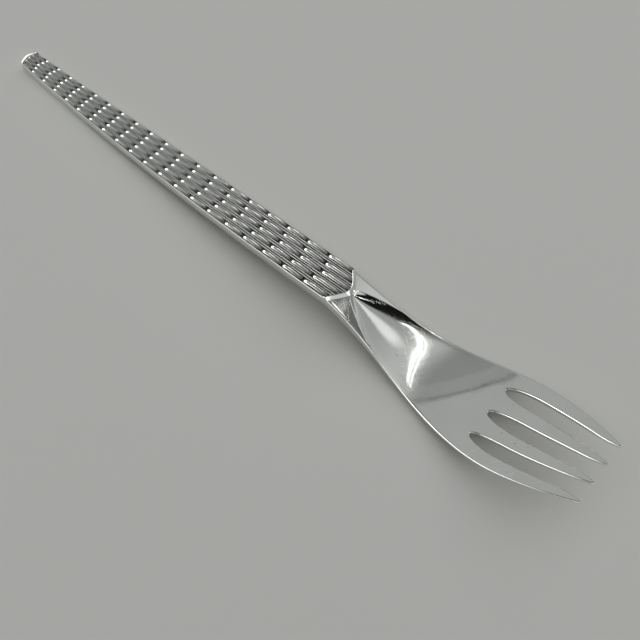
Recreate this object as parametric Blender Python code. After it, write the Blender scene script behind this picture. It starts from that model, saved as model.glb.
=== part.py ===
"""Dinner fork with four tines, struck in one piece, with rows of half-round bars in relief on its handle.

Metres, +Z up. X runs across the fork and Y along it, from the handle's end to the tips of the tines.
The fork lies on its back: the end of the handle and the belly of the bowl touch z = 0, and the middle of
its length is over the origin. Stations along the fork are measured from the handle's end.
"""
import math

import bmesh
import bpy
from mathutils import Matrix, Vector

# Lengths along the fork
LENGTH = 0.1956               # handle's end to the tips of the tines
PANEL_LENGTH = 0.1227         # handle's end to the point of the relief panel
CHEVRON = 0.0039              # how far that point stands ahead of the panel's corners
REST_LENGTH = 0.0155          # straight end of the handle, which lies on the table
BELLY_FROM_TIPS = 0.0434      # lowest place of the bowl
WIDEST_FROM_TIPS = 0.0224     # widest place of the head
TINE_LENGTH = 0.0285          # tips to the roots of the gaps
SCOOP_LENGTH = 0.0185         # pointed start of the bowl, cut into the neck

# Widths across the fork
END_WIDTH = 0.0056
NECK_WIDTH = 0.0115           # at the panel's corners
HEAD_WIDTH = 0.0267
TIPS_WIDTH = 0.0177           # over the tips of the outer tines
GAP_WIDTH = 0.0038
TIP_WIDTH = 0.0006
END_BOW = 0.0008              # how far the handle's end stands out in the middle

# Heights and thicknesses
HANDLE_THICKNESS = 0.0035
NECK_HEIGHT = 0.0104          # upper edge of the handle at the panel's corners
TIP_HEIGHT = 0.0153           # upper edge of the outer tines' tips
BOWL_DEPTH = 0.0012           # middle of the bowl below its rim
BELLY_THICKNESS = 0.0018
TIP_THICKNESS = 0.0011
RIM_THICKNESS = 0.0014
EDGE_ROUND = 0.0007           # rounding of the handle's lower edges
RIM_ROUND = 0.0003            # rounding of the lower edge of the head
END_ROUND = 0.001             # rounding of the handle's end, from above and from the side
SIDE_SWELL = 0.00012          # how far the sides stand out between their edges
PANEL_CROWN = 0.00015         # rise of the panel's floor from its sides to its middle
FACET_SLOPE = 0.32            # rise of the neck's two facets from their outer edges, per length across
SCOOP_WALL = 0.0005           # length of the steep drop at the bowl's point
BELLY_LAND = 0.00005          # depth worn off the belly where it lies on the table

# Gaps between the tines
ROOT_RUN = 0.009              # length over which a gap opens from its root
TIP_RUN = 0.006               # length over which a tine narrows to its tip

# Relief on the handle
TIERS = 20
COLUMNS = 5
TIER_GROWTH = 0.03            # each tier is longer than the one before by this share of the first
FIRST_RUN = 0.0005            # where the first tier would start without the plain end
LAST_RUN = 0.0013             # how much further the last bars run on to the bead
BAR_HEIGHT = 0.0006           # at the domed start of the largest bars
BAR_END = 0.15                # height left at the end of a bar, as a share of its height
LAST_BAR_END = 0.6            # the same for the last bars, which run on to the bead
BAR_GAP = 0.0007              # from the end of a bar to the next one
COLUMN_PITCH = 0.425          # distance between columns, in half widths of the handle
BAR_HALF_WIDTH = 0.255        # in column pitches
RIB_PLACE = 0.365             # from the middle of a column to the rib beside it, in column pitches
RIB_HALF_WIDTH = 0.068        # in column pitches
RIB_HEIGHT = 0.0003           # at the widest place of the panel
SINK = 0.0003                 # how far bars and ribs reach into the handle
TAIL_BEND = -0.0010           # chevron of the first tier line, turned towards the handle's end
HEAD_BEND = 0.0025            # chevron of the last tier line
CAP_LENGTH = 0.0016           # plain end of the handle before the relief
CAP_HEIGHT = 0.0004
CAP_SLOPE = 0.0006
BEAD_WIDTH = 0.001            # at the point of the panel
BEAD_HEIGHT = 0.0009          # at the point of the panel
BEAD_CORNER_HEIGHT = 0.0004
POINT_ROUND = 0.3             # rounding of the chevron's point, as a share of the half width

# Stations worked out from these
NECK = PANEL_LENGTH - CHEVRON
BELLY = LENGTH - BELLY_FROM_TIPS
WIDEST = LENGTH - WIDEST_FROM_TIPS
ROOT = LENGTH - TINE_LENGTH
SCOOP = PANEL_LENGTH + BEAD_WIDTH
SCOOP_END = SCOOP + SCOOP_LENGTH
BELLY_RIM = BELLY_THICKNESS + BOWL_DEPTH - BELLY_LAND

# Fineness of the mesh
HANDLE_STEPS = 14
NECK_STEPS = 8
HEAD_STEPS = 15
SCOOP_STEPS = 4
PANEL_LINES = 0.28            # the body's lines under the relief lie within this share of the half width
BAR_SIDES = 4
RIB_STEPS = 12
GAP_STEPS = 12


def clamp(value):
    return min(1.0, max(0.0, value))


def ease(value):
    t = clamp(value)
    return t * t * (3 - 2 * t)


def mix(start, end, share):
    return start + (end - start) * share


def rise(share, end_slope):
    """Curve from 0 to 1 that starts level and ends at the given slope."""
    return (3 - end_slope) * share ** 2 + (end_slope - 2) * share ** 3


def half_width(y):
    """Half of the fork's width at its upper edge."""
    if y < NECK:
        return mix(END_WIDTH, NECK_WIDTH, 1 - (1 - y / NECK) ** 1.9) / 2
    if y < WIDEST:
        return mix(NECK_WIDTH, HEAD_WIDTH, ease(((y - NECK) / (WIDEST - NECK)) ** 1.15)) / 2
    return mix(HEAD_WIDTH, TIPS_WIDTH, clamp((y - WIDEST) / (LENGTH - WIDEST)) ** 1.7) / 2


def handle_height(y):
    """Upper edge of the handle, also carried on past its corners to the panel's point."""
    share = max(0.0, y - REST_LENGTH) / (NECK - REST_LENGTH)
    return mix(HANDLE_THICKNESS, NECK_HEIGHT, share ** 1.5)


def rim_height(y):
    """Upper edge of the fork: the handle, the fall of the neck, the bowl and the rising tines."""
    if y < NECK:
        return handle_height(y)
    if y < BELLY:
        return mix(BELLY_RIM, NECK_HEIGHT, rise((BELLY - y) / (BELLY - NECK), 0.75))
    return mix(BELLY_RIM, TIP_HEIGHT, rise((y - BELLY) / (LENGTH - BELLY), 1.05))


def bowl_depth(y):
    """How far the middle of the bowl lies below its rim: deep at once at its point, level at the tips."""
    start = clamp((y - SCOOP) / SCOOP_WALL)
    return BOWL_DEPTH * start * (1 - ease(clamp((y - WIDEST) / (LENGTH - WIDEST)) ** 1.3))


def bowl_share(y):
    """Share of the half width that the bowl takes: it opens from a point on the neck to the whole head."""
    return 1 - 0.8 * (1 - clamp((y - SCOOP) / SCOOP_LENGTH)) ** 2.6


def panel_end(across):
    """Front of the relief panel, a chevron with a rounded point; across runs from -1 to 1."""
    return PANEL_LENGTH - CHEVRON * chevron(across)


def chevron(across):
    rounded = math.sqrt(across ** 2 + POINT_ROUND ** 2) - POINT_ROUND
    return rounded / (math.sqrt(1 + POINT_ROUND ** 2) - POINT_ROUND)


def panel_floor(across, y):
    cap = CAP_HEIGHT * (1 - ease((y - END_BOW * across ** 2 - CAP_LENGTH) / CAP_SLOPE))
    return handle_height(y) + PANEL_CROWN * (1 - across ** 2) + cap


def facet_height(across, y):
    """The two facets of the neck and, further on, the level of the bowl's rim."""
    return rim_height(y) + FACET_SLOPE * half_width(y) * (1 - abs(across))


def bowl_height(across, y):
    """Upper side ahead of the panel, with the bowl sunk between the facets."""
    share = bowl_share(y)
    inside = max(0.0, 1 - (across / share) ** 2)
    return facet_height(max(abs(across), share), y) - bowl_depth(y) * inside


def back_height(across, y):
    """Lower side: flat under the handle, a shallow round back under the bowl, thin at the rim."""
    if y < NECK:
        middle = handle_height(y) - HANDLE_THICKNESS
        edge = middle
    else:
        to_belly = ease((y - NECK) / (BELLY - NECK))
        to_tips = clamp((y - BELLY) / (LENGTH - BELLY))
        thickness = mix(HANDLE_THICKNESS, BELLY_THICKNESS, to_belly)
        thickness = mix(thickness, TIP_THICKNESS, to_tips)
        depth = mix(0, bowl_depth(y), to_belly)
        middle = max(0.0, rim_height(y) - depth - thickness)
        edge = rim_height(y) - mix(mix(HANDLE_THICKNESS, RIM_THICKNESS, to_belly), TIP_THICKNESS, to_tips)
    return mix(middle, max(middle, edge), clamp((abs(across) - 0.25) / 0.75) ** 2)


def loft(name, sections, collection):
    """Closed solid through sections of equal point counts, with a flat face on each end."""
    bm = bmesh.new()
    rings = [[bm.verts.new(point) for point in section] for section in sections]
    count = len(rings[0])
    for ring, after in zip(rings, rings[1:]):
        for i in range(count):
            j = (i + 1) % count
            bm.faces.new((ring[i], ring[j], after[j], after[i]))
    bm.faces.new(reversed(rings[0]))
    bm.faces.new(rings[-1])
    bmesh.ops.recalc_face_normals(bm, faces=bm.faces)
    return add_object(name, bm, collection)


def add_object(name, bm, collection):
    mesh = bpy.data.meshes.new(name)
    bm.to_mesh(mesh)
    bm.free()
    obj = bpy.data.objects.new(name, mesh)
    collection.objects.link(obj)
    return obj


def place(x, y, z):
    """A point at station y, set so that the middle of the fork's length is over the origin."""
    return Vector((x, y - LENGTH / 2, z))


def body_section(y, bend, top, inset=0.0):
    """Closed section: the upper side from edge to edge, then back along the lower side.

    bend draws the section's sides back towards the handle's end, top gives the upper side's height,
    and inset makes the whole section smaller for the rounded end.
    """
    def station(across):
        return y - bend * chevron(across)

    def edge(across):
        return half_width(station(across)) - inset

    inner = min(bowl_share(y), 0.9) if y > SCOOP else PANEL_LINES
    upper = [inner * i / SCOOP_STEPS for i in range(SCOOP_STEPS + 1)] + [mix(inner, 1, 0.5), 1]
    across_top = [-a for a in reversed(upper)] + upper[1:]
    width = edge(1)
    points = [place(a * edge(a), station(a), top(a, station(a)) - inset) for a in across_top]
    edge_top = top(1, station(1)) - inset
    edge_back = back_height(1, station(1)) + inset
    round_by = mix(EDGE_ROUND, RIM_ROUND, ease((y - NECK) / (BELLY - NECK)))
    round_by = min(round_by, 0.4 * (edge_top - edge_back))
    swell = width + SIDE_SWELL
    middle = mix(edge_top, edge_back + round_by, 0.5)
    side = [(swell, middle), (width, edge_back + round_by), (width - round_by, edge_back)]
    flat = [a * (width - round_by) / width for a in (0.75, 0.5, 0.25)]
    points += [place(x, station(1), z) for x, z in side]
    back = [(a, station(a), back_height(a, station(a)) + inset) for a in flat]
    points += [place(a * width, at, z) for a, at, z in back]
    points += [place(0, station(0), back_height(0, station(0)) + inset)]
    points += [place(-a * width, at, z) for a, at, z in reversed(back)]
    points += [place(-x, station(1), z) for x, z in reversed(side)]
    return points


def body_sections():
    """Sections from the handle's end to the tips, bent to the panel's chevron round the neck."""
    sections = []
    for angle in (0, 30, 60, 90):
        turn = math.radians(angle)
        inset = END_ROUND * (1 - math.sin(turn))
        sections.append(body_section(END_ROUND * (1 - math.cos(turn)), -END_BOW, panel_floor, inset))
    for ahead in (0, CAP_SLOPE / 2, CAP_SLOPE):
        sections.append(body_section(max(CAP_LENGTH, 1.1 * END_ROUND) + ahead, -END_BOW, panel_floor))
    first = max(CAP_LENGTH, 1.1 * END_ROUND) + 2 * CAP_SLOPE
    straight = NECK * 0.75
    for i in range(HANDLE_STEPS + 1):
        share = i / HANDLE_STEPS
        sections.append(body_section(mix(first, straight, share), -END_BOW * (1 - share), panel_floor))
    for i in range(1, 5):
        y = mix(straight, PANEL_LENGTH, i / 4)
        sections.append(body_section(y, CHEVRON * (i / 4), panel_floor))
    for ahead, height in ((0.1, 0.85), (0.35, 1.0), (0.6, 0.95)):
        def bead(across, y, lift=height):
            return panel_floor(across, y) + lift * mix(BEAD_HEIGHT, BEAD_CORNER_HEIGHT, chevron(across))
        sections.append(body_section(PANEL_LENGTH + ahead * BEAD_WIDTH, CHEVRON, bead))
    for i in range(NECK_STEPS + 1):
        share = i / NECK_STEPS
        y = mix(SCOOP, SCOOP_END, share ** 1.6)
        sections.append(body_section(y, CHEVRON * (1 - ease(share)), bowl_height))
    for i in range(1, HEAD_STEPS + 1):
        sections.append(body_section(mix(SCOOP_END, LENGTH, i / HEAD_STEPS), 0, bowl_height))
    return sections


def tier_line(tier, across):
    """Station where the bars of a tier start; the lines turn from the end's bow to a chevron."""
    def run(count):
        return count + TIER_GROWTH / 2 * count ** 2
    y = mix(FIRST_RUN, PANEL_LENGTH - LAST_RUN, run(tier) / run(TIERS))
    return y - mix(TAIL_BEND, HEAD_BEND, y / PANEL_LENGTH) * abs(across)


def pitch(y):
    return COLUMN_PITCH * half_width(y)


def relief_frame(across, y):
    """Point on the panel's floor and the pitch of the columns there."""
    return place(across * half_width(y), y, panel_floor(across, y)), pitch(y)


def bar_sections(tier, across):
    """One half-round bar: a domed start, then a crest that falls towards the next bar."""
    start = tier_line(tier, across) if tier else CAP_LENGTH * 0.8
    end, left = tier_line(tier + 1, across) - BAR_GAP, BAR_END
    if tier == TIERS - 1:
        end, left = panel_end(across) + BEAD_WIDTH * 0.2, LAST_BAR_END
    first, first_pitch = relief_frame(across, start)
    last, last_pitch = relief_frame(across, end)
    along = (last - first).normalized()
    side = Vector((1, 0, 0))
    up = side.cross(along).normalized()
    height = BAR_HEIGHT * first_pitch / pitch(NECK)
    dome = BAR_HALF_WIDTH * first_pitch
    length = (last - first).length
    sections = []
    for run, width, crest in ((0, 0.45, 0.35), (0.35 * dome, 0.85, 0.85), (dome, 1, 1), (length, 1, left)):
        half = BAR_HALF_WIDTH * mix(first_pitch, last_pitch, run / length) * width
        centre = first + along * run
        foot = math.radians(25)
        arc = [mix(foot, math.pi - foot, i / BAR_SIDES) for i in range(BAR_SIDES + 1)]
        outline = [(half * math.cos(a) / math.cos(foot), height * crest * math.sin(a)) for a in arc]
        outline += [(-half, -SINK), (half, -SINK)]
        sections.append([centre + side * x + up * z for x, z in outline])
    return sections


def rib_sections(across):
    """One fine rib beside a column of bars, from the plain end to the bead."""
    sections = []
    last = panel_end(across) + BEAD_WIDTH * 0.2
    for i in range(RIB_STEPS + 1):
        y = mix(CAP_LENGTH * 0.9, last, i / RIB_STEPS)
        centre, step = relief_frame(across, y)
        half = RIB_HALF_WIDTH * step
        height = RIB_HEIGHT * step / pitch(NECK)
        outline = ((half, -SINK), (half * 0.75, height), (-half * 0.75, height), (-half, -SINK))
        sections.append([centre + Vector((x, 0, z)) for x, z in outline])
    return sections


def make_relief(collection):
    """All bars and ribs in one mesh of separate shells, to be joined to the handle."""
    bm = bmesh.new()
    middle = (COLUMNS - 1) / 2
    shells = []
    for column in range(COLUMNS):
        across = (column - middle) * COLUMN_PITCH
        shells += [bar_sections(tier, across) for tier in range(TIERS)]
        for side in (-1, 1):
            beside = across + side * RIB_PLACE * COLUMN_PITCH
            if abs(beside) < middle * COLUMN_PITCH:
                shells.append(rib_sections(beside))
    for sections in shells:
        part = loft("relief_shell", sections, collection)
        bm.from_mesh(part.data)
        bpy.data.objects.remove(part)
    return add_object("relief", bm, collection)


def gap_half_width(y):
    """Half of a gap between two tines; it flares at the tips until the tines are as narrow as they get."""
    opened = math.sqrt(clamp(1 - (1 - clamp((y - ROOT) / ROOT_RUN)) ** 2))
    return opened * open_gap(y)


def open_gap(y):
    at_tips = (TIPS_WIDTH / 2 - 2 * TIP_WIDTH) / 3
    return mix(GAP_WIDTH / 2, at_tips, clamp((y - LENGTH + TIP_RUN) / TIP_RUN) ** 2)


def gap_middle(y, side):
    """Middle line of a gap: the four tines are equally wide everywhere."""
    return side * (half_width(y) + open_gap(y)) / 2


def make_gap(side, collection):
    """Cutter for one gap: its outline from above, drawn as a flat curve and given a height."""
    beyond = 0.002
    stations = [ROOT + ROOT_RUN * (1 - math.cos(math.pi / 2 * i / 6)) for i in range(7)]
    stations += [mix(stations[-1], LENGTH, i / GAP_STEPS) for i in range(1, GAP_STEPS + 1)]
    right = [(gap_middle(y, side) + gap_half_width(y), y) for y in stations]
    left = [(gap_middle(y, side) - gap_half_width(y), y) for y in stations[1:]]
    right.append((right[-1][0], LENGTH + beyond))
    left.append((left[-1][0], LENGTH + beyond))
    curve = bpy.data.curves.new("gap", "CURVE")
    curve.dimensions = "2D"
    curve.fill_mode = "BOTH"
    curve.extrude = TIP_HEIGHT
    outline = [place(x, y, 0) for x, y in right + left[::-1]]
    spline = curve.splines.new("POLY")
    spline.points.add(len(outline) - 1)
    for point, corner in zip(spline.points, outline):
        point.co = (*corner, 1)
    spline.use_cyclic_u = True
    drawn = bpy.data.objects.new("gap_outline", curve)
    drawn.matrix_world = Matrix.Translation((0, 0, TIP_HEIGHT / 2))
    collection.objects.link(drawn)
    return mesh_from_curve("gap_cutter", drawn, collection)


def mesh_from_curve(name, drawn, collection):
    """The solid of an extruded curve as a welded mesh, in place; the curve itself goes."""
    graph = bpy.context.evaluated_depsgraph_get()
    mesh = bpy.data.meshes.new_from_object(drawn.evaluated_get(graph))
    bm = bmesh.new()
    bm.from_mesh(mesh)
    bmesh.ops.remove_doubles(bm, verts=bm.verts, dist=1e-6)
    bmesh.ops.recalc_face_normals(bm, faces=bm.faces)
    bm.transform(drawn.matrix_world)
    bpy.data.objects.remove(drawn)
    return add_object(name, bm, collection)


def silver():
    """Polished silver with a soft grey cast."""
    material = bpy.data.materials.new("polished_silver")
    material.use_nodes = True
    shader = material.node_tree.nodes["Principled BSDF"]
    shader.inputs["Base Color"].default_value = (0.72, 0.72, 0.69, 1)
    shader.inputs["Metallic"].default_value = 1
    shader.inputs["Roughness"].default_value = 0.12
    return material


def combine(target, tool, operation):
    modifier = target.modifiers.new(tool.name, "BOOLEAN")
    modifier.operation = operation
    modifier.solver = "EXACT"
    modifier.object = tool
    tool.hide_render = True
    tool.display_type = "WIRE"


def make_collection(name):
    collection = bpy.data.collections.new(name)
    bpy.context.scene.collection.children.link(collection)
    return collection


def make_fork():
    parts = make_collection("dinner_fork")
    tools = make_collection("cutters")
    fork = loft("fork", body_sections(), parts)
    fork.data.materials.append(silver())
    for side in (-1, 0, 1):
        combine(fork, make_gap(side, tools), "DIFFERENCE")
    combine(fork, make_relief(tools), "UNION")
    fork.data.shade_smooth()
    fork.data.set_sharp_from_angle(angle=math.radians(30))


for old in list(bpy.data.objects):
    bpy.data.objects.remove(old)
make_fork()
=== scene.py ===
"""Dinner fork with four tines, as it looks: one struck body, and the bars and ribs in relief on its handle.

Metres, +Z up, in the frame of the CAD model: X runs across the fork, Y along it from the handle's end to
the tips, and the handle's end and the belly lie on z = 0. Stations are measured from the handle's end.
"""

import math

import bmesh
import bpy
import numpy as np
from mathutils import Matrix, Vector
from mathutils.kdtree import KDTree


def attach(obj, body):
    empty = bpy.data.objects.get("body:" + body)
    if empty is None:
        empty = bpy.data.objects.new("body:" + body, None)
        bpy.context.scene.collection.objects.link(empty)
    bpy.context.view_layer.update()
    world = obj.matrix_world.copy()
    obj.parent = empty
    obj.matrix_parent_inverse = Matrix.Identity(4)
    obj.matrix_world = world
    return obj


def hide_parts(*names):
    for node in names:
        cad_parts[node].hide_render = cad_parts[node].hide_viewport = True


# Lengths along the fork
LENGTH = 0.1956
PANEL_LENGTH = 0.1227         # handle's end to the point of the relief panel
CHEVRON = 0.0039              # how far that point stands ahead of the panel's corners
REST_LENGTH = 0.0155          # straight end of the handle, which lies on the table
BELLY = LENGTH - 0.0434       # lowest place of the bowl
WIDEST = LENGTH - 0.0224      # widest place of the head
ROOT = LENGTH - 0.0285        # roots of the gaps
NECK = PANEL_LENGTH - CHEVRON
BEAD_WIDTH = 0.001
SCOOP = PANEL_LENGTH + BEAD_WIDTH
SCOOP_LENGTH = 0.0185         # pointed start of the bowl, cut into the neck
SCOOP_END = SCOOP + SCOOP_LENGTH
SCOOP_FRONT = 0.0009          # length over which the bowl's point is rounded, seen from above

# Widths across the fork
END_WIDTH = 0.0056
NECK_WIDTH = 0.0115
HEAD_WIDTH = 0.0267
TIPS_WIDTH = 0.0177
GAP_WIDTH = 0.0038
TIP_WIDTH = 0.0006
END_BOW = 0.0008

# Heights and thicknesses
HANDLE_THICKNESS = 0.0035
NECK_HEIGHT = 0.0104
TIP_HEIGHT = 0.0153
BOWL_DEPTH = 0.0012
BELLY_THICKNESS = 0.0018
TIP_THICKNESS = 0.0011
RIM_THICKNESS = 0.0014
BELLY_WEAR = 0.00005          # how far the belly is worn flat
BELLY_RIM = BELLY_THICKNESS + BOWL_DEPTH - BELLY_WEAR
PANEL_CROWN = 0.00015
FACET_SLOPE = 0.32            # rise of the neck's two facets from their outer edges
SCOOP_WALL = 0.0005
SIDE_SWELL = 0.0001           # how far the sides stand out between their edges

# Curves along the fork: powers that set how full they are, and slopes at the end of a climb
HANDLE_TAPER = 1.9
NECK_FLARE = 1.15
TINES_TAPER = 1.7
HANDLE_ARCH = 1.5
NECK_SLOPE = 0.75
TIPS_SLOPE = 1.05
BOWL_FADE = 1.3
SCOOP_FLARE = 2.6
SCOOP_POINT = 0.2             # half width of the scoop at its point, in half widths of the fork
FLAT_BACK = 0.25              # how far the flat middle of the back reaches, in half widths

# Rounded edges
END_ROUND = 0.001
EDGE_ROUND = 0.0007           # lower edges of the handle
RIM_ROUND = 0.00032           # lower edges of the head
PANEL_ROUND = 0.00016         # upper edges of the handle
LIP_ROUND = 0.0005            # upper edges of the neck and the head
TINE_EDGE_ROUND = 0.0003      # upper edges of the tines
TIP_ROUND = 0.0003            # tips of the tines, seen from above
CREASE_ROUND = 0.00014        # polish on the creases of the neck

HEAD_RUN = 0.008              # length over which the lower edges change from handle to head
LIP_RUN = 0.004               # length over which the upper edges change from handle to neck
TINE_EDGE_START = ROOT - 0.012
TINE_EDGE_RUN = 0.011         # length over which the upper edges change from head to tines

# Gaps between the tines
ROOT_RUN = 0.009              # length over which a gap opens from its root
TIP_RUN = 0.006               # length over which it changes to its width at the tips

# Relief on the handle
TIERS = 20
COLUMNS = 5
TIER_GROWTH = 0.03            # how much longer each tier is than the one behind it, as a share of the first
FIRST_RUN = 0.0005            # start of the tiers, from the handle's end
LAST_RUN = 0.0013             # end of the tiers, back from the panel's point
TAIL_BEND = -0.0010           # bend of the tiers at the handle's end, which follow its bow
HEAD_BEND = 0.0025            # bend of the tiers at the neck, which follow the chevron
BAR_HEIGHT = 0.0006
BAR_FOOT = 1.1                # how deep a bar reaches into the handle, in its own heights
BAR_GAP = 0.0007
LAST_BAR_LIFT = 0.000432      # lift at the far end of the bars that run on to the bead
COLUMN_PITCH = 0.425          # from column to column, in half widths of the handle
BAR_HALF_WIDTH = 0.255        # in column pitches, as the next two
RIB_PLACE = 0.365
RIB_HALF_WIDTH = 0.068
RIB_HEIGHT = 0.0003
RIB_POINTS = 60
CAP_LENGTH = 0.0016           # plain cap at the handle's end
CAP_HEIGHT = 0.0004
CAP_SLOPE = 0.0006            # length of its slope down to the panel
FIRST_BAR_START = CAP_LENGTH * 0.8
RIB_START = CAP_LENGTH * 0.9
BEAD_HEIGHT = 0.0009
BEAD_CORNER_HEIGHT = 0.0004
BEAD_OVERLAP = BEAD_WIDTH * 0.1    # how far bars and ribs run into the bead
POINT_ROUND = 0.3             # rounding of the chevron's point, in half widths
CLEAN_EDGE = 0.00015          # strip along the handle's edges over which the oxide fades out
CLEAN_BEAD = 0.0002           # the same at the bead
CLEAN_CAP = 0.4               # share of the cap's slope that is wiped free of oxide

# Bead's profile: share of its width, share of its height
BEAD_PROFILE = ((0.0, 0.0), (0.03, 0.45), (0.08, 0.8), (0.14, 0.93), (0.22, 0.99), (0.3, 1.0), (0.37, 0.99),
                (0.42, 0.96), (0.46, 0.91))
BEAD_FOOT = 0.0003            # how far the slope of its front runs on into the neck

# Cross sections along a bar: share of its length, of its width, of its height
BAR_SECTIONS = ((0, 0.3, 0.02), (0.004, 0.5, 0.2), (0.012, 0.7, 0.38), (0.024, 0.86, 0.51), (0.04, 0.96, 0.6),
                (0.08, 1, 0.71), (0.14, 1, 0.84), (0.2, 1, 0.94), (0.26, 1, 0.99), (0.32, 1, 1),
                (0.4, 1, 0.985), (0.52, 1, 0.92), (0.66, 1, 0.78), (0.8, 1, 0.58), (0.96, 1, 0.28),
                (1, 0.95, 0.08))
SECTION_PLACES = (1.0, 0.95, 0.84, 0.66, 0.38, 0.0)    # from a bar's side to its crest, in half widths

# Black oxide on a bar, in shares of its height and its length
OXIDE_START = 0.3             # how high it reaches at the bar's start
OXIDE_HIGH = 0.6              # how high it reaches further along
OXIDE_RUN = 0.25              # length over which it rises
OXIDE_FADE = 0.32             # height over which it fades out
LOW_CREST = 0.4               # where the crest is lower than this, it sinks into the oxide

# Rows and columns of the body's skin
END_ROWS = 9
CAP_ROWS = 14
HANDLE_ROWS = 96
SCOOP_ROWS = 96
HEAD_ROWS = 62
ROOT_ROWS = 30
TINE_ROWS = 60
WALL_ROWS = 6
SWELL_POINTS = 4              # points at each end of a side over which its swell begins
INNER_COLUMNS = 16
OUTER_COLUMNS = 14
STRAIGHT_ROW = NECK * 0.75    # station of the row that runs straight across the handle
FOLD_ON_HANDLE = 0.66         # place of the outer fold of the columns, in half widths
FOLD_RUN = 0.02               # length over which it moves to the scoop's point
FOLD_LIMIT = 0.93
TINE_LINES_START = SCOOP_END - 0.006
TINE_LINES_RUN = 0.022        # length over which the columns turn to the edges of the tines
MERGE = 2e-7                  # distance within which points are one


def clamp(value):
    return np.clip(value, 0.0, 1.0)


def ease(value):
    t = clamp(value)
    return t * t * (3 - 2 * t)


def mix(start, end, share):
    return start + (end - start) * share


def rise(share, end_slope):
    """Curve from 0 to 1 that starts level and ends at the given slope."""
    return (3 - end_slope) * share ** 2 + (end_slope - 2) * share ** 3


def half_width(y):
    """Half of the fork's width at its upper edge."""
    handle = mix(END_WIDTH, NECK_WIDTH, 1 - (1 - clamp(y / NECK)) ** HANDLE_TAPER)
    neck = mix(NECK_WIDTH, HEAD_WIDTH, ease(clamp((y - NECK) / (WIDEST - NECK)) ** NECK_FLARE))
    tines = mix(HEAD_WIDTH, TIPS_WIDTH, clamp((y - WIDEST) / (LENGTH - WIDEST)) ** TINES_TAPER)
    return np.where(y < NECK, handle, np.where(y < WIDEST, neck, tines)) / 2


def handle_height(y):
    share = np.maximum(0.0, y - REST_LENGTH) / (NECK - REST_LENGTH)
    return mix(HANDLE_THICKNESS, NECK_HEIGHT, share ** HANDLE_ARCH)


def rim_height(y):
    """Upper edge of the fork: the handle, the fall of the neck, the bowl and the rising tines."""
    fall = mix(BELLY_RIM, NECK_HEIGHT, rise(clamp((BELLY - y) / (BELLY - NECK)), NECK_SLOPE))
    climb = mix(BELLY_RIM, TIP_HEIGHT, rise(clamp((y - BELLY) / (LENGTH - BELLY)), TIPS_SLOPE))
    return np.where(y < NECK, handle_height(y), np.where(y < BELLY, fall, climb))


def bowl_depth(y):
    start = ease((y - SCOOP) / SCOOP_WALL)
    return BOWL_DEPTH * start * (1 - ease(clamp((y - WIDEST) / (LENGTH - WIDEST)) ** BOWL_FADE))


def bowl_share(y):
    """Share of the half width that the bowl takes: it opens from a point on the neck to the whole head."""
    return 1 - (1 - SCOOP_POINT) * (1 - clamp((y - SCOOP) / SCOOP_LENGTH)) ** SCOOP_FLARE


def chevron(across):
    rounded = np.sqrt(across ** 2 + POINT_ROUND ** 2) - POINT_ROUND
    return rounded / (math.sqrt(1 + POINT_ROUND ** 2) - POINT_ROUND)


def panel_end(across):
    return PANEL_LENGTH - CHEVRON * chevron(across)


def panel_floor(across, y):
    cap = CAP_HEIGHT * (1 - ease((y - END_BOW * across ** 2 - CAP_LENGTH) / CAP_SLOPE))
    return handle_height(y) + PANEL_CROWN * (1 - across ** 2) + cap


def bowl_height(across, y):
    """Upper side ahead of the panel: the neck's two facets, and the bowl sunk between them."""
    front = clamp((y - SCOOP) / SCOOP_FRONT)
    share = bowl_share(y) * np.sqrt(np.maximum(1 - (1 - front) ** 2, 1e-4))
    inside = np.maximum(0.0, 1 - (across / share) ** 2)
    facet = rim_height(y) + FACET_SLOPE * half_width(y) * (1 - np.maximum(np.abs(across), share))
    return facet - bowl_depth(y) * inside


def polished_height(across, y):
    """The same with its creases rounded: the mean of the heights close by."""
    total = 0.0
    steps = np.linspace(-1, 1, 7) * CREASE_ROUND
    for along in steps:
        for aside in steps:
            total = total + bowl_height(across + aside / half_width(y), y + along)
    return total / len(steps) ** 2


def back_height(across, y):
    """Lower side: flat under the handle, a shallow round back under the bowl, thin at the rim."""
    to_belly = ease((y - NECK) / (BELLY - NECK))
    to_tips = clamp((y - BELLY) / (LENGTH - BELLY))
    thickness = mix(mix(HANDLE_THICKNESS, BELLY_THICKNESS, to_belly), TIP_THICKNESS, to_tips)
    middle = np.maximum(0.0, rim_height(y) - bowl_depth(y) * to_belly - thickness)
    rim = mix(mix(HANDLE_THICKNESS, RIM_THICKNESS, to_belly), TIP_THICKNESS, to_tips)
    edge = np.maximum(middle, rim_height(y) - rim)
    return mix(middle, edge, clamp((np.abs(across) - FLAT_BACK) / (1 - FLAT_BACK)) ** 2)


def open_gap(y):
    at_tips = (TIPS_WIDTH / 2 - 2 * TIP_WIDTH) / 3
    return mix(GAP_WIDTH / 2, at_tips, clamp((y - LENGTH + TIP_RUN) / TIP_RUN) ** 2)


def gap_half_width(y):
    return open_gap(y) * np.sqrt(clamp(1 - (1 - clamp((y - ROOT) / ROOT_RUN)) ** 2))


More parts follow.
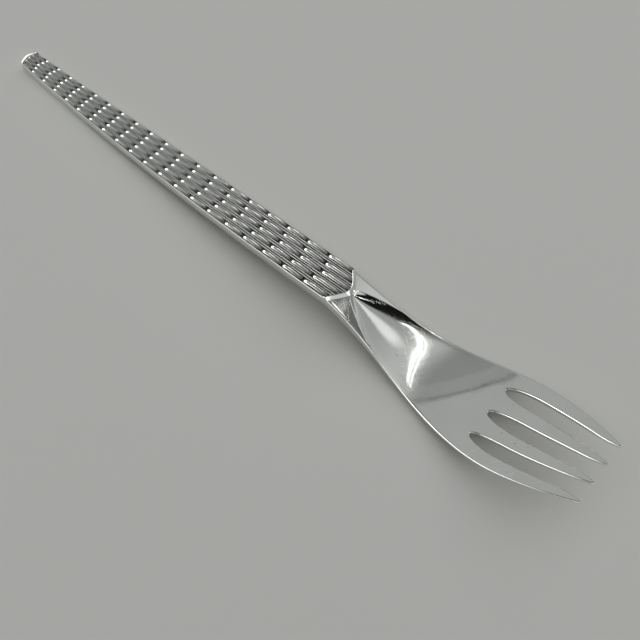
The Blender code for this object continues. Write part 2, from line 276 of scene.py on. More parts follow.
def body_rows():
    """Rows across the fork: station, bend towards the panel's chevron, lift of the bead (less than 0 for the
    share of the way down its front), inset of the end."""
    rows = []
    for turn in np.radians(np.linspace(0, 90, END_ROWS)):
        rows.append((END_ROUND * (1 - math.cos(turn)), -END_BOW, 0, END_ROUND * (1 - math.sin(turn))))
    cap = np.linspace(1.15, 3, CAP_ROWS) * 0.001
    panel = np.linspace(0.0036, PANEL_LENGTH - 0.0012, HANDLE_ROWS)
    before_bead = PANEL_LENGTH - np.array((0.0008, 0.0004, 0.0002, 0.0001))
    # rows on the cap, along the panel, and closer together before the bead
    for y in np.concatenate((cap, panel, before_bead)):
        bend = np.interp(y, (0.002, STRAIGHT_ROW, PANEL_LENGTH), (-END_BOW, 0, CHEVRON))
        rows.append((y, bend, 0, 0))
    for ahead, lift in BEAD_PROFILE:
        rows.append((PANEL_LENGTH + ahead * BEAD_WIDTH, CHEVRON, lift, 0))
    brow = rows[-1][0]
    foot = SCOOP + BEAD_FOOT
    for share in (0.04, 0.12, 0.35, 0.65, 0.88, 0.96):
        rows.append((mix(brow, foot, share), CHEVRON, -share, 0))
    for share in np.linspace(0, 1, SCOOP_ROWS):
        rows.append((mix(foot, SCOOP_END, share ** 1.5), CHEVRON * (1 - ease(share)), 0, 0))
    # rows of the head, closer together round the gaps' roots and at the tips
    before_root = np.array((0.6, 0.42, 0.28, 0.17, 0.09, 0.04)) * 0.001
    head = [np.linspace(SCOOP_END, ROOT - 0.001, HEAD_ROWS)[1:], ROOT - before_root]
    head.append(ROOT + ROOT_RUN * (1 - np.cos(np.linspace(0, math.pi / 2, ROOT_ROWS))))
    head.append(np.linspace(ROOT + ROOT_RUN, LENGTH - TIP_ROUND, TINE_ROWS)[1:])
    head.append(LENGTH - TIP_ROUND + TIP_ROUND * np.sin(np.radians((12, 26, 40, 52, 63, 72, 80))))
    rows += [(y, 0, 0, 0) for y in np.concatenate(head)]
    rows[-1] = (LENGTH, 0, 0, 0)
    return np.array(rows)


def strip_edges(rows):
    """Lines that the columns keep to, as shares of the half width: both edges of an inner tine, the inner
    edge of an outer tine, the fold, which is the scoop's ridge where there is one, and the outer edge."""
    y, bend = rows[:, 0], rows[:, 1]
    width = half_width(y)
    ridge = bowl_share(y)
    # a bent row meets the ridge further back; the place is found step by step
    for _ in range(10):
        ridge = (ridge + bowl_share(y - bend * chevron(ridge))) / 2
    on_handle = mix(FOLD_ON_HANDLE, SCOOP_POINT, ease((y - SCOOP + FOLD_RUN) / FOLD_RUN))
    ridge = np.where(y < SCOOP, on_handle, np.minimum(ridge, FOLD_LIMIT))
    to_tines = ease((y - TINE_LINES_START) / TINE_LINES_RUN)
    gap = gap_half_width(y)
    gap_line = (width + open_gap(y)) / 2
    line = mix(0.5 * ridge * width, gap_line, to_tines)
    fold = mix(ridge * width, (line + gap + width) / 2, to_tines)
    edges = [gap, line - gap, line + gap, fold, width]
    past = clamp((y - LENGTH + TIP_ROUND) / TIP_ROUND)
    shrink = np.sqrt(1 - np.minimum(past, 0.98) ** 2)
    for low, high in ((0, 1), (2, 4)):
        middle, half = (edges[low] + edges[high]) / 2, (edges[high] - edges[low]) / 2 * shrink
        edges[low], edges[high] = middle - half, middle + half
    edges[3] = np.where(past > 0, (edges[2] + edges[4]) / 2, edges[3])
    return [edge / width for edge in edges]


def columns_between(low, high, count):
    """Columns from one line to the next, closer at both lines, for all rows at once."""
    share = (1 - np.cos(np.linspace(0, math.pi, count))) / 2
    return low[:, None] + (high - low)[:, None] * share[None, :]


def edge_samples(points, spacing=0.00002):
    """Points along a line seen from above, close enough to measure the distance to it."""
    out = []
    for start, end in zip(points, points[1:]):
        count = max(1, int(np.hypot(*(end - start)) / spacing))
        out.append(start + (end - start) * np.linspace(0, 1, count, endpoint=False)[:, None])
    return np.concatenate(out + [points[-1:]])


def rounded_drop(distance, radius):
    """How far a quarter round lowers a surface at this distance from its edge."""
    left = np.maximum(0.0, radius - distance)
    return radius - np.sqrt(np.maximum(radius ** 2 - left ** 2, 0.0))


def edge_tree(plans, root):
    """Search tree of the body's edges seen from above: its sides, its ends and both sides of the gaps."""
    outlines = []
    for index, plan in enumerate(plans):
        inner = index % 2 == 0
        outlines += [plan[root:, 0], plan[root:, -1] if inner else plan[:, -1], plan[0], plan[-1]]
    samples = np.concatenate([edge_samples(line) for line in outlines])
    tree = KDTree(len(samples))
    for i, (x, y) in enumerate(samples):
        tree.insert((x, y, 0), i)
    tree.balance()
    return tree


def body_mesh():
    """The whole struck body as one closed skin of four strips, each an inner or an outer tine on the right or
    the left, which run together behind the gaps' roots."""
    rows = body_rows()
    count = len(rows)
    lines = strip_edges(rows)
    root = int(np.argmin(np.abs(rows[:, 0] - ROOT)))
    halves = [columns_between(lines[0], lines[1], INNER_COLUMNS)]
    outer = [columns_between(low, high, OUTER_COLUMNS) for low, high in zip(lines[2:], lines[3:])]
    halves.append(np.concatenate((outer[0], outer[1][:, 1:]), 1))
    strips = [side * part for side in (1, -1) for part in halves]
    panel_rows = rows[:, 0] < SCOOP + BEAD_FOOT - 1e-9

    plans = []
    for across in strips:
        station = rows[:, :1] - rows[:, 1:2] * chevron(across)
        x = across * (half_width(station) - rows[:, 3:4])
        plans.append(np.stack((x, station), 2))
    tree = edge_tree(plans, root)

    points, faces, recess = [], [], []
    offset = 0
    for index, (across, plan) in enumerate(zip(strips, plans)):
        station = plan[:, :, 1]
        lift = rows[:, 2:3] * mix(BEAD_HEIGHT, BEAD_CORNER_HEIGHT, chevron(across))
        panel = panel_floor(across, station) + lift
        top = np.where(panel_rows[:, None], panel, polished_height(across, station))
        front = np.flatnonzero(rows[:, 2] < 0)
        top[front] = mix(top[front[0] - 1], top[front[-1] + 1], -rows[front, 2:3])
        back = back_height(across, station)
        top, back = top - rows[:, 3:4], back + rows[:, 3:4]
        away = np.array([tree.find((x, y, 0))[2] for x, y in plan.reshape(-1, 2)]).reshape(across.shape)
        to_head = ease((station - NECK) / HEAD_RUN)
        upper = mix(PANEL_ROUND, LIP_ROUND, ease((station - NECK + LIP_RUN / 2) / LIP_RUN))
        upper = mix(upper, TINE_EDGE_ROUND, ease((station - TINE_EDGE_START) / TINE_EDGE_RUN))
        lower = np.minimum(mix(EDGE_ROUND, RIM_ROUND, to_head), 0.5 * (top - back))
        top = top - rounded_drop(away, upper)
        back = back + rounded_drop(away, lower)
        past_cap = ease((station - CAP_LENGTH - CAP_SLOPE * CLEAN_CAP) / (CAP_SLOPE * (1 - CLEAN_CAP)))
        before_bead = ease((panel_end(across) - station + CLEAN_BEAD / 2) / CLEAN_BEAD)
        dark = past_cap * before_bead * ease(away / CLEAN_EDGE)
        upper_points = np.dstack((plan[:, :, 0], station, top))
        lower_points = np.dstack((plan[:, :, 0], station, back))
        points += [upper_points.reshape(-1, 3), lower_points.reshape(-1, 3)]
        recess += [dark.reshape(-1), np.zeros(dark.size)]
        wide = across.shape[1]
        grid = np.arange(count * wide).reshape(count, wide)
        quads = np.stack((grid[:-1, :-1], grid[:-1, 1:], grid[1:, 1:], grid[1:, :-1]), 2).reshape(-1, 4)
        faces += [quads + offset, quads[:, ::-1] + offset + count * wide]
        offset += 2 * count * wide
        start = root if index % 2 == 0 else 0
        borders = [(upper_points[0], lower_points[0], 0), (upper_points[-1], lower_points[-1], 0),
                   (upper_points[root:, 0], lower_points[root:, 0], -1),
                   (upper_points[start:, -1], lower_points[start:, -1], 1)]
        for above, below, outward in borders:
            wall, wall_faces = side_wall(above, below, outward * (1 if index < 2 else -1))
            points.append(wall)
            recess.append(np.zeros(len(wall)))
            faces.append(wall_faces + offset)
            offset += len(wall)
    points = np.concatenate(points)
    points[:, 1] -= LENGTH / 2
    return points, np.concatenate(faces), np.concatenate(recess)


def side_wall(above, below, outward):
    """Wall from the upper to the lower edge along a border, a little fuller half way down where it faces
    outward to the side (1 or -1)."""
    wide = len(above)
    order = np.arange(wide)
    taper = np.minimum(1, np.minimum(order, order[::-1]) / SWELL_POINTS)
    rows = []
    for share in np.linspace(0, 1, WALL_ROWS):
        row = mix(above, below, share)
        row[:, 0] += outward * SIDE_SWELL * math.sin(math.pi * share) * taper
        rows.append(row)
    grid = np.arange(WALL_ROWS * wide).reshape(WALL_ROWS, wide)
    quads = np.stack((grid[:-1, :-1], grid[:-1, 1:], grid[1:, 1:], grid[1:, :-1]), 2).reshape(-1, 4)
    return np.concatenate(rows), quads


def make_body(finish):
    points, faces, recess = body_mesh()
    mesh = bpy.data.meshes.new("fork_body")
    mesh.from_pydata(points.tolist(), [], faces.tolist())
    mesh.attributes.new("recess", "FLOAT", "POINT").data.foreach_set("value", recess.astype(np.float32))
    bm = bmesh.new()
    bm.from_mesh(mesh)
    bmesh.ops.remove_doubles(bm, verts=bm.verts, dist=MERGE)
    bmesh.ops.dissolve_degenerate(bm, edges=bm.edges, dist=1e-8)
    bmesh.ops.recalc_face_normals(bm, faces=bm.faces)
    bm.to_mesh(mesh)
    bm.free()
    mesh.shade_smooth()
    mesh.materials.append(finish)
    body = bpy.data.objects.new("fork_body", mesh)
    bpy.context.scene.collection.objects.link(body)
    return body


def add(tree, kind, inputs=None, **settings):
    """Adds a node with its settings; each input gets a value, or a link where it is given a socket."""
    node = tree.nodes.new(kind)
    for name, value in settings.items():
        setattr(node, name, value)
    for key, value in (inputs or {}).items():
        if isinstance(value, bpy.types.NodeSocket):
            tree.links.new(value, node.inputs[key])
        else:
            node.inputs[key].default_value = value
    return node


def tier_line(tier, across):
    """Station where the bars of a tier start; the lines turn from the end's bow to a chevron."""
    def run(count):
        return count + TIER_GROWTH / 2 * count ** 2
    y = mix(FIRST_RUN, PANEL_LENGTH - LAST_RUN, run(tier) / run(TIERS))
    return y - mix(TAIL_BEND, HEAD_BEND, y / PANEL_LENGTH) * abs(across)


def pitch(y):
    return COLUMN_PITCH * float(half_width(np.float64(y)))


def on_panel(across, y):
    x = across * float(half_width(np.float64(y)))
    return Vector((x, y - LENGTH / 2, float(panel_floor(np.float64(across), np.float64(y)))))


def bar_pattern():
    """One bar of unit size along +Y: a domed start, a crest that rises and falls, and a foot sunk in the
    handle. Its recess is 1 where oxide stays and 0 where it is wiped bright."""
    bm = bmesh.new()
    layer = bm.verts.layers.float.new("recess")
    rings = []
    # a section a little fuller than a half round, with a foot point under each side
    side = [(x, (1 - x ** 2.6) ** 0.55) for x in SECTION_PLACES]
    section = [(1.0, None)] + side + [(-x, z) for x, z in side[-2::-1]] + [(-1.0, None)]
    for run, width, crest in BAR_SECTIONS:
        ring = []
        oxide = mix(OXIDE_START, OXIDE_HIGH, min(1.0, run / OXIDE_RUN))
        for x, z in section:
            vert = bm.verts.new((x * width, run, -BAR_FOOT if z is None else z * crest))
            height = -1.0 if z is None else z * min(1.0, crest / LOW_CREST)
            vert[layer] = 1 - min(1.0, max(0.0, (height - oxide) / OXIDE_FADE))
            ring.append(vert)
        rings.append(ring)
    for ring, after in zip(rings, rings[1:]):
        for i in range(len(ring) - 1):
            bm.faces.new((ring[i], ring[i + 1], after[i + 1], after[i]))
        bm.faces.new((ring[-1], ring[0], after[0], after[-1]))
    bm.faces.new(rings[0])
    bm.faces.new(rings[-1])
    bmesh.ops.recalc_face_normals(bm, faces=bm.faces)
    for face in bm.faces:
        face.smooth = len(face.verts) == 4
    mesh = bpy.data.meshes.new("bar_pattern")
    bm.to_mesh(mesh)
    bm.free()
    pattern = bpy.data.objects.new("bar_pattern", mesh)
    bpy.context.scene.collection.objects.link(pattern)
    return pattern


def bar_places():
    """A point for each bar, with its turn and its size as attributes."""
    places, turns, sizes = [], [], []
    for column in range(COLUMNS):
        across = (column - (COLUMNS - 1) / 2) * COLUMN_PITCH
        for tier in range(TIERS):
            start = tier_line(tier, across) if tier else FIRST_BAR_START
            end = tier_line(tier + 1, across) - BAR_GAP
            if tier == TIERS - 1:
                end = float(panel_end(np.float64(across))) + BEAD_OVERLAP
            first, last = on_panel(across, start), on_panel(across, end)
            if tier == TIERS - 1:
                last.z += LAST_BAR_LIFT
            if not tier:
                first.z = last.z
            run = last - first
            places.append(first)
            turns.append((math.asin(run.z / run.length), 0, math.atan2(-run.x, run.y)))
            step = (pitch(start) + pitch(end)) / 2
            sizes.append((BAR_HALF_WIDTH * step, run.length, BAR_HEIGHT * step / pitch(NECK)))
    mesh = bpy.data.meshes.new("bar_places")
    mesh.from_pydata(places, [], [])
    for name, values in (("turn", turns), ("size", sizes)):
        attribute = mesh.attributes.new(name, "FLOAT_VECTOR", "POINT")
        attribute.data.foreach_set("vector", np.array(values, np.float32).reshape(-1))
    points = bpy.data.objects.new("bar_places", mesh)
    bpy.context.scene.collection.objects.link(points)
    return points


def bar_tree():
    """Sets the bar pattern on each point, turned and sized, with the slight unevenness of hand-cut dies."""
    tree = bpy.data.node_groups.new("bars_on_handle", "GeometryNodeTree")
    sockets = tree.interface
    sockets.new_socket("Geometry", in_out="INPUT", socket_type="NodeSocketGeometry")
    sockets.new_socket("Bar", in_out="INPUT", socket_type="NodeSocketObject")
    sockets.new_socket("Least Height", in_out="INPUT", socket_type="NodeSocketFloat")
    sockets.new_socket("Greatest Height", in_out="INPUT", socket_type="NodeSocketFloat")
    sockets.new_socket("Seed", in_out="INPUT", socket_type="NodeSocketInt")
    sockets.new_socket("Finish", in_out="INPUT", socket_type="NodeSocketMaterial")
    sockets.new_socket("Geometry", in_out="OUTPUT", socket_type="NodeSocketGeometry")
    given = add(tree, "NodeGroupInput").outputs
    bar = add(tree, "GeometryNodeObjectInfo", {"Object": given["Bar"]})
    turn = add(tree, "GeometryNodeInputNamedAttribute", {"Name": "turn"}, data_type="FLOAT_VECTOR")
    size = add(tree, "GeometryNodeInputNamedAttribute", {"Name": "size"}, data_type="FLOAT_VECTOR")
    uneven = add(tree, "FunctionNodeRandomValue", {
        "Min": given["Least Height"], "Max": given["Greatest Height"], "Seed": given["Seed"]})
    spread = add(tree, "ShaderNodeCombineXYZ", {"X": 1.0, "Y": 1.0, "Z": uneven.outputs["Value"]})
    scale = add(tree, "ShaderNodeVectorMath", {0: size.outputs["Attribute"], 1: spread.outputs[0]},
                operation="MULTIPLY")
    rotation = add(tree, "FunctionNodeEulerToRotation", {"Euler": turn.outputs["Attribute"]})
    placed = add(tree, "GeometryNodeInstanceOnPoints", {
        "Points": given["Geometry"], "Instance": bar.outputs["Geometry"],
        "Rotation": rotation.outputs["Rotation"], "Scale": scale.outputs["Vector"]})
    real = add(tree, "GeometryNodeRealizeInstances", {"Geometry": placed.outputs["Instances"]})
    painted = add(tree, "GeometryNodeSetMaterial", {"Geometry": real.outputs[0], "Material": given["Finish"]})
    add(tree, "NodeGroupOutput", {"Geometry": painted.outputs[0]})
    return tree


def rib_paths():
    """A line of points for each fine rib beside a column of bars, with its half width along the way."""
    points, edges, widths = [], [], []
    middle = (COLUMNS - 1) / 2
    places = [column - middle + side * RIB_PLACE for column in range(COLUMNS) for side in (-1, 1)]
    for place in places:
        if abs(place) > middle:
            continue
        across = place * COLUMN_PITCH
        last = float(panel_end(np.float64(across))) + BEAD_OVERLAP
        for i, y in enumerate(np.linspace(RIB_START, last, RIB_POINTS)):
            if i:
                edges.append((len(points) - 1, len(points)))
            points.append(on_panel(across, float(y)))
            widths.append(pitch(y) * RIB_HALF_WIDTH)
    mesh = bpy.data.meshes.new("rib_paths")
    mesh.from_pydata(points, edges, [])
    mesh.attributes.new("rib_width", "FLOAT", "POINT").data.foreach_set("value", np.array(widths, np.float32))
    paths = bpy.data.objects.new("rib_paths", mesh)
    bpy.context.scene.collection.objects.link(paths)
    return paths


def rib_tree():
    """Draws an oblong with rounded edges along each path, half sunk in the handle; sizes are in half widths
    of the rib, and the half width comes from the path."""
    tree = bpy.data.node_groups.new("ribs_on_handle", "GeometryNodeTree")
    sockets = tree.interface
    sockets.new_socket("Geometry", in_out="INPUT", socket_type="NodeSocketGeometry")
    sockets.new_socket("Height", in_out="INPUT", socket_type="NodeSocketFloat")
    sockets.new_socket("Edge Round", in_out="INPUT", socket_type="NodeSocketFloat")
    sockets.new_socket("Edge Steps", in_out="INPUT", socket_type="NodeSocketInt")
    sockets.new_socket("Finish", in_out="INPUT", socket_type="NodeSocketMaterial")
    sockets.new_socket("Geometry", in_out="OUTPUT", socket_type="NodeSocketGeometry")
    given = add(tree, "NodeGroupInput").outputs
    width = add(tree, "GeometryNodeInputNamedAttribute", {"Name": "rib_width"}, data_type="FLOAT")
    line = add(tree, "GeometryNodeMeshToCurve", {"Mesh": given["Geometry"]})
    upright = add(tree, "GeometryNodeSetCurveNormal", {"Curve": line.outputs["Curve"]}, mode="Z_UP")
    oblong = add(tree, "GeometryNodeCurvePrimitiveQuadrilateral", {"Width": 2.0, "Height": given["Height"]})
    rounded = add(tree, "GeometryNodeFilletCurve", {
        "Curve": oblong.outputs["Curve"], "Radius": given["Edge Round"], "Count": given["Edge Steps"]},
        mode="POLY")
    drawn = add(tree, "GeometryNodeCurveToMesh", {
        "Curve": upright.outputs[0], "Profile Curve": rounded.outputs["Curve"],
        "Scale": width.outputs["Attribute"], "Fill Caps": True})
    # oxide stays on the steep sides
    upward = add(tree, "ShaderNodeSeparateXYZ", {0: add(tree, "GeometryNodeInputNormal").outputs[0]})
    sunk = add(tree, "ShaderNodeMapRange", {"Value": upward.outputs["Z"], "From Min": 0.8, "From Max": 0.3})
    marked = add(tree, "GeometryNodeStoreNamedAttribute", {
        "Geometry": drawn.outputs["Mesh"], "Name": "recess", "Value": sunk.outputs[0]},
        data_type="FLOAT", domain="POINT")
    smooth = add(tree, "GeometryNodeSetShadeSmooth", {"Geometry": marked.outputs[0]})
    real = add(tree, "GeometryNodeRealizeInstances", {"Geometry": smooth.outputs[0]})
    painted = add(tree, "GeometryNodeSetMaterial", {"Geometry": real.outputs[0], "Material": given["Finish"]})
    add(tree, "NodeGroupOutput", {"Geometry": painted.outputs[0]})
    return tree


def finished(name, source, tree, values):
    """The tree's result on an object as a plain mesh; the object it came from goes."""
    modifier = source.modifiers.new(name, "NODES")
    modifier.node_group = tree
    for item in tree.interface.items_tree:
        if item.in_out == "INPUT" and item.name in values:
            modifier[item.identifier] = values[item.name]
    graph = bpy.context.evaluated_depsgraph_get()
    mesh = bpy.data.meshes.new_from_object(source.evaluated_get(graph))
    mesh.name = name
    source.modifiers.clear()
    bpy.data.objects.remove(source)
    piece = bpy.data.objects.new(name, mesh)
    bpy.context.scene.collection.objects.link(piece)
    return piece


def linear(hex_colour):
    """sRGB hex to the linear colour that nodes take."""
    channels = [int(hex_colour[i:i + 2], 16) / 255 for i in (1, 3, 5)]
    return tuple(c / 12.92 if c < 0.04045 else ((c + 0.055) / 1.055) ** 2.4 for c in channels) + (1.0,)


def polished_silver():
    """Struck and polished silver: a mirror that waves a little, with wiping scratches, a few pits, and
    black oxide left in the recesses of the relief."""
    material = bpy.data.materials.new("silver_struck_polished")
    material.use_nodes = True
    tree = material.node_tree
    shader = tree.nodes["Principled BSDF"]
    where = add(tree, "ShaderNodeTexCoord").outputs["Object"]
    recess = add(tree, "ShaderNodeAttribute", attribute_name="recess").outputs["Fac"]

    # oxide: patchy at a millimetre or so
    patches = add(tree, "ShaderNodeTexNoise", {"Vector": where, "Scale": 900.0, "Detail": 3.0})
    patchy = add(tree, "ShaderNodeMapRange", {
        "Value": patches.outputs["Fac"], "From Min": 0.25, "From Max": 0.7, "To Min": 0.82, "To Max": 1.0})
    oxide = add(tree, "ShaderNodeMath", {0: recess, 1: patchy.outputs[0]}, operation="MULTIPLY")
    # pits: dark specks about 0.25 mm across, some 3.5 mm apart
    specks = add(tree, "ShaderNodeTexVoronoi", {"Vector": where, "Scale": 290.0})
    pits = add(tree, "ShaderNodeMapRange", {
        "Value": specks.outputs["Distance"], "From Min": 0.045, "From Max": 0.03})
    stain = add(tree, "ShaderNodeMath", {0: oxide.outputs[0], 1: pits.outputs[0]}, operation="MAXIMUM")
    # tone: a polish that varies over about 12 mm
    clouds = add(tree, "ShaderNodeTexNoise", {"Vector": where, "Scale": 80.0, "Detail": 2.0})
    tone = add(tree, "ShaderNodeMix", {0: clouds.outputs["Fac"], 6: linear("#d6d7d3"), 7: linear("#e4e4df")},
               data_type="RGBA")
    colour = add(tree, "ShaderNodeMix", {0: stain.outputs[0], 6: tone.outputs[2], 7: linear("#171a19")},
                 data_type="RGBA")
    tree.links.new(colour.outputs[2], shader.inputs["Base Color"])
    shader.inputs["Metallic"].default_value = 1.0

    # roughness: a mirror with a haze that varies over about 4 mm, dull where oxide stays
    haze = add(tree, "ShaderNodeTexNoise", {"Vector": where, "Scale": 260.0, "Detail": 4.0})
    shine = add(tree, "ShaderNodeMapRange", {
        "Value": haze.outputs["Fac"], "From Min": 0.3, "From Max": 0.75, "To Min": 0.045, "To Max": 0.1})
    dull = add(tree, "ShaderNodeMath", {0: oxide.outputs[0], 1: 0.35, 2: shine.outputs[0]},
               operation="MULTIPLY_ADD")
    tree.links.new(dull.outputs[0], shader.inputs["Roughness"])

    # wiping scratches: hair lines in the metal, drawn about 0.2 mm wide and 4 mm long so that they show
    wiped = None
    for turn, width, length in ((12, 0.0002, 0.005), (-38, 0.00018, 0.0035), (64, 0.0002, 0.004)):
        turned = add(tree, "ShaderNodeMapping", {
            "Vector": where, "Rotation": (0, 0, math.radians(turn)), "Scale": (width, length, width)},
            vector_type="TEXTURE")
        grain = add(tree, "ShaderNodeTexNoise", {"Vector": turned.outputs[0], "Scale": 1.0, "Detail": 0.0},
                    noise_dimensions="2D")
        lines = add(tree, "ShaderNodeMapRange", {
            "Value": grain.outputs["Fac"], "From Min": 0.72, "From Max": 0.84})
        wiped = lines.outputs[0] if wiped is None else add(
            tree, "ShaderNodeMath", {0: wiped, 1: lines.outputs[0]}, operation="MAXIMUM").outputs[0]
    sunk = add(tree, "ShaderNodeMath", {0: wiped, 1: pits.outputs[0]}, operation="MAXIMUM")
    scratched = add(tree, "ShaderNodeBump", {
        "Strength": 1.0, "Distance": 0.000002, "Height": sunk.outputs[0]}, invert=True)
    # waves left by the polishing wheel, about 10 mm long
    waves = add(tree, "ShaderNodeTexNoise", {"Vector": where, "Scale": 110.0, "Detail": 1.0})
    wavy = add(tree, "ShaderNodeBump", {
        "Strength": 1.0, "Distance": 0.00006, "Height": waves.outputs["Fac"], "Normal": scratched.outputs[0]})
    tree.links.new(wavy.outputs[0], shader.inputs["Normal"])
    return material


def painted_floor():
    """Smooth matt board: an even pale ground with no pattern of its own."""
    material = bpy.data.materials.new("board_matt_pale")
    material.use_nodes = True
    shader = material.node_tree.nodes["Principled BSDF"]
    shader.inputs["Base Color"].default_value = linear("#c9cac6")
    shader.inputs["Roughness"].default_value = 0.8
    return material


def make_floor():
    bm = bmesh.new()
    bmesh.ops.create_grid(bm, x_segments=8, y_segments=8, size=FLOOR_HALF_WIDTH)
    mesh = bpy.data.meshes.new("floor")
    bm.to_mesh(mesh)
    bm.free()
    mesh.materials.append(painted_floor())
    floor = bpy.data.objects.new("floor", mesh)
    bpy.context.scene.collection.objects.link(floor)


# Studio's soft light: parts that add up, each the product of one or more fades across the sky
FROM_RIGHT = ((-1, 0, 0), -0.03, 0.06, 0, 1)
SKY = (
    (((0, 1, 0), 0.0, 0.2, 0.26, 0.43), FROM_RIGHT),
    (((0.644, 1, 0.751), 0.23, 0.19, 0, 0.06), FROM_RIGHT),
    (((0.644, 1, 0.751), 0.05, 0.035, 0, -0.14), FROM_RIGHT),
    (((0.644, 1, 0.751), 0.02, -0.02, 0, 0.24), FROM_RIGHT),
    (((-0.394, 0.428, 0.814), 0.98, 0.998, 0, 0.62),),
    (((0, 1, 0), 0.45, 0.2, 0.01, 0.2), ((0, 1, 0), -0.1, 0.1, 0.35, 1)),
    (((-0.1, 0.6, 1), 0.18, 0.08, 0, 2.0), ((1, 0, 0), -0.45, -0.2, 0, 1)),
    (((0, 0, 1), 0.4, 0.15, 0, 1), ((1, 0, 0), -0.4, -0.7, 0, 1), ((0, 1, 0), 0.3, 0.05, 0, -0.34)),
    (((0.6, 0.8, -0.2), 0.84, 0.9, 0, 0.75),),
    (((0, 1, 0), 0.84, 0.92, 0, 2.5), ((1, 0, 0), -0.2, -0.05, 0, 1), ((1, 0, 0), 0.41, 0.35, 0, 1)),
    (((0.88, 0.43, 0.2), 0.93, 0.97, 0, 2.0),),
    (((1, 0, 0), -0.03, 0.06, 0, 0.18), ((1, 0, 0), 0.6, 0.45, 0, 1), ((0, 1, 0), -0.25, -0.4, 0, 1)),
)

# Two bent lamps side by side over the fork, as rows of straight ones: each corner, and the width after it
LAMP_HEIGHT = 1.5
BENT_LAMP = ((-1.366, 0.243, 0.046), (-0.697, 0.34, 0.054), (-0.417, 0.379, 0.04), (-0.245, 0.444, 0.038),
             (-0.128, 0.533, 0.06), (-0.048, 0.672, 0.05), (-0.05, 0.78, 0))
BENT_STRIP = ((-1.356, 0.17, 0.036), (-0.683, 0.262, 0.03), (-0.397, 0.315, 0.022), (-0.214, 0.394, 0.018),
              (-0.095, 0.505, 0))
BENT_LAMPS = (("bent_lamp", BENT_LAMP, 2.4), ("bent_strip", BENT_STRIP, 1.6))

# Straight lamps that show in the metal: name, both ends, width, brightness of the face
SHINE_LAMPS = (
    ("bent_lamp_edge", (-0.82, 0.19, LAMP_HEIGHT), (-0.40, 0.265, LAMP_HEIGHT), 0.06, 0.2),
    ("bent_lamp_edge_end", (-0.42, 0.26, LAMP_HEIGHT), (-0.1, 0.42, LAMP_HEIGHT), 0.06, 0.2),
    ("left_lamp", (0.33, 0.265, LAMP_HEIGHT), (0.33, 0.33, LAMP_HEIGHT), 0.06, 0.35),
    ("left_lamp_edge", (0.37, 0.27, LAMP_HEIGHT), (0.95, 0.27, LAMP_HEIGHT), 0.12, 1.6),
    ("small_lamp", (0.6, 1.36, LAMP_HEIGHT), (0.85, 1.53, LAMP_HEIGHT), 0.08, 3.0),
    ("back_lamp", (-0.3, -0.5465, 0.325), (-0.04, -0.5465, 0.325), 0.18, 2.2),
    ("side_lamp", (0.36, -0.3, 0.16), (0.36, -0.02, 0.16), 0.3, 2.0),
    ("crest_lamp", (-0.0975, -0.069, 0.0824), (-0.1035, -0.045, 0.0865), 0.0245, 2.6),
    ("crest_lamp_end", (-0.1035, -0.045, 0.0865), (-0.1085, -0.0272, 0.09), 0.0245, 0.7),
)

# Large lamps that light the floor
FLOOR_LAMPS = (
    ("window", (-1.3, -0.7, 1.0), (-1.3, 0.9, 1.0), 0.9, 1.2),
    ("overhead", (-1.5, 0.0, 1.9), (1.5, 0.0, 1.9), 3.0, 1.15),
)

FLOOR_HALF_WIDTH = 3.0

# Camera, fitted to the fork's outline in the photo
LENS = 50.625
SENSOR = 36.0
CAMERA_PLACE = (0.09237, 0.08334, 0.20604)
CAMERA_AHEAD = (-0.3704, -0.2665, -0.8898)
CAMERA_RIGHT = (-0.6522, 0.7567, 0.0449)


def lamp_between(name, start, end, width, brightness, mirrored=True):
    """Soft lamp from one end to the other, facing the fork; it shows in mirrors or lights what is matt."""
    start, end = Vector(start), Vector(end)
    along = (end - start).normalized()
    away = (start + end) / 2
    away = (away - along * away.dot(along)).normalized()
    lamp = bpy.data.lights.new(name, "AREA")
    lamp.shape = "RECTANGLE"
    lamp.size, lamp.size_y = (end - start).length, width
    lamp.energy = brightness * math.pi * lamp.size * lamp.size_y
    holder = bpy.data.objects.new(name, lamp)
    turn = Matrix((along, away.cross(along), away)).transposed().to_4x4()
    holder.matrix_world = Matrix.Translation((start + end) / 2) @ turn
    holder.visible_glossy = mirrored
    holder.visible_diffuse = not mirrored
    holder.visible_camera = False
    bpy.context.scene.collection.objects.link(holder)


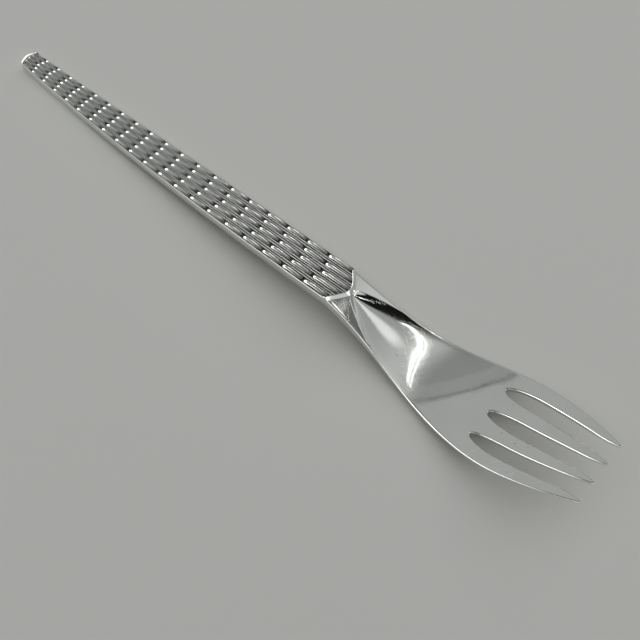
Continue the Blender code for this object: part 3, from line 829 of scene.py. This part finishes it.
def make_light():
    """Graded sky and lamps that show in the metal, two large lamps for the floor, and a plain backdrop."""
    world = bpy.data.worlds.new("studio")
    bpy.context.scene.world = world
    world.use_nodes = True
    world.cycles_visibility.diffuse = False
    tree = world.node_tree
    tree.nodes.clear()
    where = add(tree, "ShaderNodeTexCoord").outputs["Generated"]
    total = None
    for part in SKY:
        level = None
        # a fade: the way it faces, where it starts and ends along that way, and its level at each end
        for facing, start, end, least, most in part:
            side = add(tree, "ShaderNodeVectorMath", {0: where, 1: facing}, operation="DOT_PRODUCT")
            fade = add(tree, "ShaderNodeMapRange", {
                "Value": side.outputs["Value"], "From Min": start, "From Max": end,
                "To Min": least, "To Max": most}, interpolation_type="SMOOTHSTEP").outputs[0]
            level = fade if level is None else add(
                tree, "ShaderNodeMath", {0: level, 1: fade}, operation="MULTIPLY").outputs[0]
        total = level if total is None else add(
            tree, "ShaderNodeMath", {0: total, 1: level}, operation="ADD").outputs[0]
    sky = add(tree, "ShaderNodeBackground", {"Strength": total, "Color": linear("#f4f7f7")})
    plain = add(tree, "ShaderNodeBackground", {"Strength": 1.0, "Color": linear("#b4b6b3")})
    seen = add(tree, "ShaderNodeLightPath").outputs["Is Camera Ray"]
    shown = add(tree, "ShaderNodeMixShader", {0: seen, 1: sky.outputs[0], 2: plain.outputs[0]})
    add(tree, "ShaderNodeOutputWorld", {"Surface": shown.outputs[0]})
    for name, corners, brightness in BENT_LAMPS:
        for i, ((x, y, width), after) in enumerate(zip(corners, corners[1:])):
            end = (after[0], after[1], LAMP_HEIGHT)
            lamp_between(f"{name}_{i + 1}", (x, y, LAMP_HEIGHT), end, width, brightness)
    for lamp in SHINE_LAMPS:
        lamp_between(*lamp)
    for lamp in FLOOR_LAMPS:
        lamp_between(*lamp, mirrored=False)


def make_camera():
    camera = bpy.data.cameras.new("camera")
    camera.sensor_width = SENSOR
    camera.lens = LENS
    holder = bpy.data.objects.new("camera", camera)
    ahead = Vector(CAMERA_AHEAD).normalized()
    right = Vector(CAMERA_RIGHT)
    right = (right - ahead * right.dot(ahead)).normalized()
    up = right.cross(ahead)
    turn = Matrix((right, up, -ahead)).transposed().to_4x4()
    holder.matrix_world = Matrix.Translation(CAMERA_PLACE) @ turn
    bpy.context.scene.collection.objects.link(holder)
    bpy.context.scene.camera = holder


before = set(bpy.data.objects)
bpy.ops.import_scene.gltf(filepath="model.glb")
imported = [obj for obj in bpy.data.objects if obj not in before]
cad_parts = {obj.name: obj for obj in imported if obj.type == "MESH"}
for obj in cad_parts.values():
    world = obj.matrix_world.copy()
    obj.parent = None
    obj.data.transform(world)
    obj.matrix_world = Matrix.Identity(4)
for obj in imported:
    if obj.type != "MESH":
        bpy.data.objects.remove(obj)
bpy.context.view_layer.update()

silver = polished_silver()
body = make_body(silver)
pattern = bar_pattern()
bars = finished("fork_bars", bar_places(), bar_tree(), {
    "Bar": pattern, "Least Height": 0.94, "Greatest Height": 1.04, "Seed": 7, "Finish": silver})
bpy.data.objects.remove(pattern)
ribs = finished("fork_ribs", rib_paths(), rib_tree(), {
    "Height": 2 * RIB_HEIGHT / (RIB_HALF_WIDTH * pitch(NECK)), "Edge Round": 0.35, "Edge Steps": 4,
    "Finish": silver})
for piece in (body, bars, ribs):
    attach(piece, "root")
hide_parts("fork")

make_floor()
make_light()
make_camera()
bpy.context.scene.view_settings.view_transform = "Standard"
